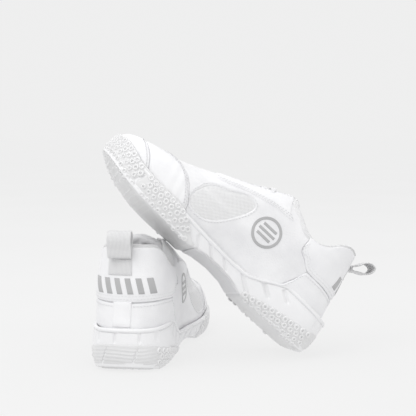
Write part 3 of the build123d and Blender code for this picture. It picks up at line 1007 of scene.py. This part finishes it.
def carve(x, y, z):
    """Depth of the midsole's slanted side grooves and upright heel grooves."""
    depth = np.zeros_like(y)
    for (y1, z1), (y2, z2) in GROOVES:
        dy, dz = y2 - y1, z2 - z1
        t = np.clip(((y - y1) * dy + (z - z1) * dz) / (dy * dy + dz * dz), 0, 1)
        far = np.hypot(y - y1 - t * dy, z - z1 - t * dz)
        depth = np.maximum(depth, 1.7 * np.exp(-(far / 1.5) ** 4) * (y > 40))
    for x0 in (-24, -8, 14, 28):
        far = np.abs(x - x0)
        depth = np.maximum(depth, 1.5 * np.exp(-(far / 1.3) ** 4) * (y < 32) * np.clip((z - 25) / 2, 0, 1)
                           * np.clip((37 - z) / 2, 0, 1))
    return depth


def sole_columns(y_from, y_to):
    mid = RINGS[np.argmin(abs(GROWS)), :, 1]
    return np.where((mid >= y_from) & (mid <= y_to))[0]


def midsole():
    """Foam wall from the outsole's edge to the bead, the bead's round lip, and the shelf behind it."""
    n = RINGS.shape[1]
    cols = np.arange(n)
    plan = sole_at(cols, np.zeros(n))
    top, low = height(BEAD, plan[:, 1]), height(GROUND, plan[:, 1]) + .8
    rows = []
    edge = sole_at(cols, wall_grow(low) - 9)
    spine = np.c_[np.full(n, -1.5), np.clip(plan[:, 1], 24, 246)]
    for t in np.linspace(1, 0, 18):
        p = edge * (1 - t) + spine * t
        rows.append(np.c_[p, height(GROUND, p[:, 1]) + 1.2])
    for k in (5, 2.2, .8):
        rows.append(np.c_[sole_at(cols, wall_grow(low) - k), low + .3])
    for t in np.linspace(0, 1, 30):
        z = low + .3 + (top - 4 - low - .3) * t
        grow = wall_grow(z)
        p = sole_at(cols, grow)
        rows.append(np.c_[sole_at(cols, grow - carve(p[:, 0], p[:, 1], z)), z])
    for a in np.linspace(-1.35, math.pi * .92, 13):
        grow = wall_grow(top) - .9 + 2.1 * math.cos(a)
        rows.append(np.c_[sole_at(cols, grow), top - 1.9 + 1.9 * math.sin(a)])
    for k in (4.5, 7, 10):
        rows.append(np.c_[sole_at(cols, wall_grow(top) - k), top - 2.2 - .12 * k])
    return Patch().grid(np.array(rows), wrap=True, flip=False)


add("midsole_foam_wall", midsole(), "foam", rides="shoe-forefoot", replaces=("midsole_front", "midsole_rear"))


def grain(x, y, z):
    """Curved ribs like wood grain on the heel's wrap."""
    r = np.hypot(y - 66 - .2 * x, (z + 6) * 1.6)
    ribs = .34 * np.sin((z * 1.7 + .05 * x * np.cos(x * .07) * 3 + .10 * y) * 2 * math.pi / 5.4
                        + .6 * np.sin(r * .12))
    slots = sum(np.exp(-((x - x0 - .35 * (z - 10)) / .8) ** 4) for x0 in (-19, 9)) * (y < 30)
    return ribs * (y < 60) - 1.1 * slots


def tread_profile(t, ground, top):
    """(grow, z) down a rubber wrap: its top edge at t 0, a full round edge, and the ground at t 1."""
    round_z = np.minimum(top - ground - .4, 9.0)
    round_in = .75 * round_z
    straight = (top - ground - round_z) / (top - ground + .35 * round_z)
    a = np.clip((t - straight) / (1 - straight), 0, 1) * math.pi / 2
    z = np.where(t < straight, top - (top - ground - round_z) * t / straight,
                 ground + round_z * (1 - np.sin(a)))
    return wall_grow(np.maximum(z, 6)) + .9 - round_in * (1 - np.cos(a)), z


def tread(cols, wrap_line, spine_y, relief, end_y):
    """A rubber skin: down the side from its wrap line, round the edge and in under the sole to a spine.
    It runs into the midsole at its end by the arch."""
    plan = sole_at(cols, np.zeros(len(cols)))
    y = plan[:, 1]
    ground, top = height(GROUND, y), np.maximum(height(wrap_line, y), height(GROUND, y) + 3.2)
    rows = []
    tuck = 1 - np.clip(np.abs(y - end_y) / 4, 0, 1)
    rows.append(np.c_[sole_at(cols, wall_grow(top) - 1.2), top + .15])
    rows.append(np.c_[sole_at(cols, wall_grow(top) + .5 - 1.5 * tuck), top])
    for t in np.linspace(.03, 1, 34):
        grow, z = tread_profile(t, ground, top)
        grow, z = grow - 2 * tuck, z + 1.6 * tuck * t
        p = sole_at(cols, grow)
        p = sole_at(cols, grow + relief(p[:, 0], p[:, 1], z) * min(1, 4 * t))
        rows.append(np.c_[p, z])
    edge = sole_at(cols, tread_profile(1, ground, top)[0] - .3 - 2 * tuck)
    spine = np.c_[np.where(y > 120, -1.5, 0), np.clip(y, *spine_y)]
    for t in np.linspace(0, 1, 22)[1:]:
        p = edge * (1 - t) + spine * t
        rows.append(np.c_[p, height(GROUND, p[:, 1]) + .02
                          + 1.6 * (1 - np.clip(np.abs(p[:, 1] - end_y) / 4, 0, 1))])
    return Patch().grid(np.array(rows))


heel_cols = sole_columns(-10, 87)
heel_cols = np.r_[heel_cols[heel_cols > 360], heel_cols[heel_cols < 360]]
front_cols = sole_columns(147, 300)
add("heel_rubber", tread(heel_cols, HEEL_WRAP, (24, 86), grain, end_y=87), "rubber",
    replaces=("outsole_heel",))
flat_front = tread(front_cols, TOE_WRAP, (148, 246), end_y=147,
                   relief=lambda x, y, z: -1.3 * np.exp(-((y - 227 + .26 * (z - 10)) / 1.5) ** 4))
add("front_rubber", flat_front, "rubber", rides="shoe-forefoot", replaces=("outsole_ball", "outsole_toe"))


def ring_lug(patch, c, n, outer=2.7, inner=1.25, tall=1.1, sides=16):
    n = n / np.linalg.norm(n)
    e1 = np.cross(n, [0, 0, 1.0] if abs(n[2]) < .9 else [0, 1.0, 0])
    e1 /= np.linalg.norm(e1)
    e2 = np.cross(n, e1)
    a = np.arange(sides) * 2 * math.pi / sides
    ring = np.cos(a)[:, None] * e1 + np.sin(a)[:, None] * e2
    profile = ((outer + .35, -.5), (outer, tall * .65), (outer - .3, tall), (inner + .3, tall),
               (inner, tall * .65), (inner - .2, -.3))
    patch.grid(np.array([c + ring * r + n * h for r, h in profile]), wrap=True, flip=True)


def lugs():
    """Ring lugs in staggered rows up the toe's and heel's sides, and in a honeycomb under the sole."""
    side, under = Patch(), Patch()
    plan = sole_at(np.arange(RINGS.shape[1]), np.zeros(RINGS.shape[1]))
    run = np.r_[0, np.cumsum(np.linalg.norm(np.diff(plan, axis=0), axis=1))]
    step = 6.9
    for row in range(6):
        for k in range(int(run[-1] / step)):
            col = int(np.interp((k + .5 * (row % 2)) * step, run, np.arange(len(run)))) % len(plan)
            y = plan[col, 1]
            if not (y > 157 or 12 < y < 84 and plan[col, 0] > 0 or 30 < y < 84):
                continue
            ground = float(height(GROUND, y))
            top = float(max(height(TOE_WRAP if y > 140 else HEEL_WRAP, y), ground + 3.2))
            t = (3.6 + 5.7 * row) / (top - ground + 6)
            if t > .93 or y > 157 and abs(y - 227 + .26 * (top - 10)) < 4.4:
                continue
            place = lambda q: np.r_[sole_at(np.array([col]), np.array([tread_profile(q, ground, top)[0]]))[0],
                                    tread_profile(q, ground, top)[1]]
            p, q, r = place(t), place(min(t + .04, 1)), place(t - .04)
            ahead = np.r_[plan[(col + 1) % len(plan)] - plan[col - 1], 0]
            n = np.cross(q - r, ahead)
            n = n if n[:2].dot(sole_at(np.array([col]), np.array([3.9]))[0] - plan[col]) > 0 else -n
            size = .82 if row > 1 else 1
            ring_lug(side, p, n, outer=2.75 * size, inner=1.25 * size)
    for y in np.arange(6, 262, 6.2):
        for x in np.arange(-48, 49, 7.1) + (3.55 if int(round((y - 6) / 6.2)) % 2 else 0):
            if 84 < y < 152 or abs(y - 227) < 4:
                continue
            col = int(np.argmin(np.hypot(plan[:, 0] - x, plan[:, 1] - y)))
            inside = (x > 0) == (plan[col, 0] > 0) and abs(x) < abs(plan[col, 0])
            if inside and np.hypot(*(plan[col] - (x, y))) > 10.5:
                ring_lug(under, np.array([x, y, float(height(GROUND, y)) + .9]), np.array([0, 0, -1.0]),
                         tall=.85)
    return side, under


side_lugs, under_lugs = lugs()
add("side_ring_lugs", side_lugs, "lug", rides="shoe-forefoot", merge=0)
add("under_ring_lugs", under_lugs, "lug", rides="shoe-forefoot", merge=0)

# ---- nodes of the frame that stay on show, in better materials ----
KEPT = {"arch_plate": "plate", "sockliner_front": "lining", "sockliner_rear": "lining",
        "lasting_board_front": "board", "lasting_board_rear": "board"}
for side in ("right", "left"):
    for node, look in KEPT.items():
        mesh = frame["nodes"][f"{side}_{node}"].data
        mesh.materials.clear()
        mesh.materials.append(MATERIALS[look])

# ---- floor, light and camera ----
bpy.ops.mesh.primitive_plane_add(size=60, location=(0, 20, -.0005))
floor = bpy.context.object
floor.name = "floor"
def pale(nodes, links, shader):
    shade(nodes, links, shader, noise(nodes, links, 3, 2), (.115, .115, .115), (.125, .125, .125))
    shader.inputs["Emission Color"].default_value = (1, 1, 1, 1)
    shader.inputs["Emission Strength"].default_value = .752


floor.data.materials.append(material("pale_floor", (.12, .12, .12), 1, pale, specular=0))
floor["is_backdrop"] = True

world = bpy.data.worlds.new("studio") if not bpy.context.scene.world else bpy.context.scene.world
bpy.context.scene.world = world
world.use_nodes = True
world.node_tree.nodes["Background"].inputs["Color"].default_value = (.86, .86, .86, 1)
world.node_tree.nodes["Background"].inputs["Strength"].default_value = 1

for name, place, size, power in (("key", (-.7, -1.0, 1.5), 1.1, 9), ("fill", (1.3, -1.1, .9), 1.2, 2),
                                 ("top", (.1, .3, 1.7), 1.4, 7)):
    lamp = bpy.data.lights.new(name, "AREA")
    lamp.energy, lamp.size = power, size
    obj = bpy.data.objects.new(name, lamp)
    obj.location = place
    obj.rotation_euler = (Vector((.05, .05, .1)) - Vector(place)).to_track_quat("-Z", "Y").to_euler()
    bpy.context.scene.collection.objects.link(obj)

bpy.context.scene.view_settings.view_transform = "Standard"
camera = bpy.data.objects.new("camera", bpy.data.cameras.new("camera"))
bpy.context.scene.collection.objects.link(camera)
azimuth, elevation, distance = math.radians(7.31), math.radians(4.21), .9026
back = Vector((math.sin(azimuth) * math.cos(elevation), -math.cos(azimuth) * math.cos(elevation),
               math.sin(elevation)))
target = Vector((.0674, .010, .1417))
camera.location = target + back * distance
camera.rotation_euler = back.to_track_quat("Z", "Y").to_euler()
camera.data.lens, camera.data.sensor_width = 84.5, 36
bpy.context.scene.camera = camera

low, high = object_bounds()
